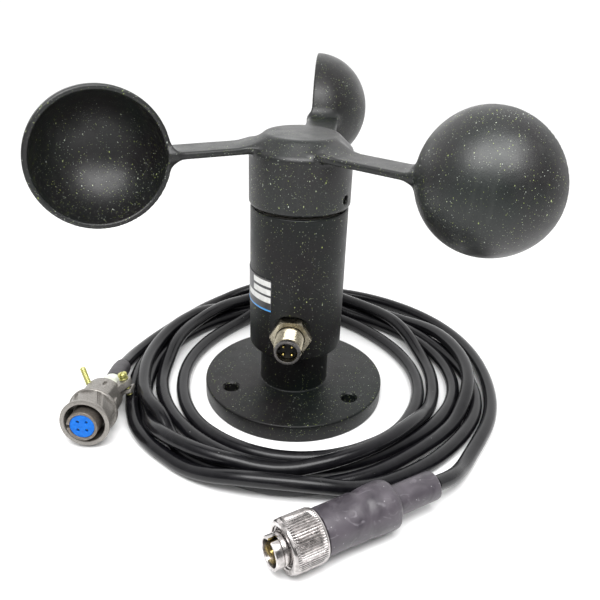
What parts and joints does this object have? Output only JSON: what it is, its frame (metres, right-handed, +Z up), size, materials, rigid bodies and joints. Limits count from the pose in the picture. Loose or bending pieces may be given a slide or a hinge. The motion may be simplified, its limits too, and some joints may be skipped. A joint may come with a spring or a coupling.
{
  "type": "cup anemometer",
  "caption": "Cup anemometer: rotor of hemispherical cups on a tubular sensor housing with a bolt-down flange, and a loose signal cable coiled round its base with a plug on each end.",
  "frame": {"origin": "on the rotor's axis, in the underside of the mounting flange", "axes": "+Z up along the rotor's axis; -Y towards the front, 5 degrees from the way the cable receptacle points; +X to the right seen from the front"},
  "size_m": [0.1883, 0.2144, 0.1392],
  "materials": {
    "black_paint": "matte powder coat",
    "grey_alloy": "cast and turned, satin",
    "steel": "ground",
    "zinc_yellow": "yellow zinc plate",
    "nickel": "nickel plated, satin",
    "gold_contact": "gold plated",
    "brass": "turned",
    "black_plastic": "moulded",
    "rubber": "matte",
    "cable_jacket": "satin",
    "heat_shrink": "shrunk sleeve, satin",
    "blue_insert": "moulded",
    "pale_liner": "moulded",
    "circuit_board": "solder mask",
    "wire": "bundle of insulated wires",
    "label_film": "printed film"
  },
  "bodies": {
    "stator": {"base_flange": "black_paint", "base_screw_1": "steel", "base_screw_2": "steel", "base_screw_3": "steel", "sensor_housing": "black_paint", "label_film": "label_film", "bearing_carrier": "grey_alloy", "carrier_o_ring": "rubber", "shaft_seal": "rubber", "circuit_board": "circuit_board", "board_post_1": "brass", "board_post_2": "brass", "board_post_3": "brass", "board_screw_1": "steel", "board_screw_2": "steel", "board_screw_3": "steel", "light_sensor": "black_plastic", "signal_loom": "wire", "receptacle_shell": "nickel", "receptacle_insert": "black_plastic", "receptacle_nut": "nickel", "receptacle_washer": "rubber", "receptacle_pin_1": "gold_contact", "receptacle_pin_2": "gold_contact", "receptacle_pin_3": "gold_contact", "receptacle_pin_4": "gold_contact", "lower_bearing_outer_ring": "steel", "upper_bearing_outer_ring": "steel", "cable_coil": "cable_jacket", "cable_tail_left": "cable_jacket", "cable_tail_front": "cable_jacket", "plug_strain_sleeve": "rubber", "plug_barrel": "grey_alloy", "plug_insert": "blue_insert", "plug_backshell": "grey_alloy", "plug_clamp_saddle": "grey_alloy", "plug_clamp_screw_1": "zinc_yellow", "plug_clamp_screw_2": "zinc_yellow", "plug_liner": "pale_liner", "connector_barrel": "nickel", "connector_insert": "black_plastic", "connector_grip": "heat_shrink", "connector_end_sleeve": "heat_shrink"},
    "rotor": {"rotor_hub": "black_paint", "cup_1": "black_paint", "cup_2": "black_paint", "cup_3": "black_paint", "hub_set_screw": "steel", "shaft": "steel", "bearing_spacer": "steel", "shaft_circlip": "steel", "code_disc": "steel", "code_disc_screw": "steel", "lower_bearing_inner_ring": "steel", "upper_bearing_inner_ring": "steel"},
    "lower_cage": {"lower_bearing_ball_cage": "steel"},
    "upper_cage": {"upper_bearing_ball_cage": "steel"},
    "plug_ring": {"plug_coupling_ring": "grey_alloy"},
    "connector_ring": {"connector_coupling_ring": "nickel"}
  },
  "joints": [
    {"name": "rotor_spin", "type": "hinge", "parent": "stator", "child": "rotor", "pos_m": [0, 0, 0.1], "axis": [0, 0, 1], "continuous": true},
    {"name": "lower_cage_spin", "type": "hinge", "parent": "stator", "child": "lower_cage", "pos_m": [0, 0, 0.061], "axis": [0, 0, 1], "continuous": true},
    {"name": "upper_cage_spin", "type": "hinge", "parent": "stator", "child": "upper_cage", "pos_m": [0, 0, 0.084], "axis": [0, 0, 1], "continuous": true},
    {"name": "plug_ring_spin", "type": "hinge", "parent": "stator", "child": "plug_ring", "pos_m": [-0.0821, -0.0469, 0.01155], "axis": [-0.0503, -0.9923, 0.1132], "continuous": true},
    {"name": "connector_ring_spin", "type": "hinge", "parent": "stator", "child": "connector_ring", "pos_m": [-0.0059, -0.1073, 0.0094], "axis": [-0.8607, -0.509, 0], "continuous": true}
  ],
  "couplings": [
    {"joint": "lower_cage_spin", "follows": "rotor_spin", "ratio": 0.4008},
    {"joint": "upper_cage_spin", "follows": "rotor_spin", "ratio": 0.4008}
  ]
}
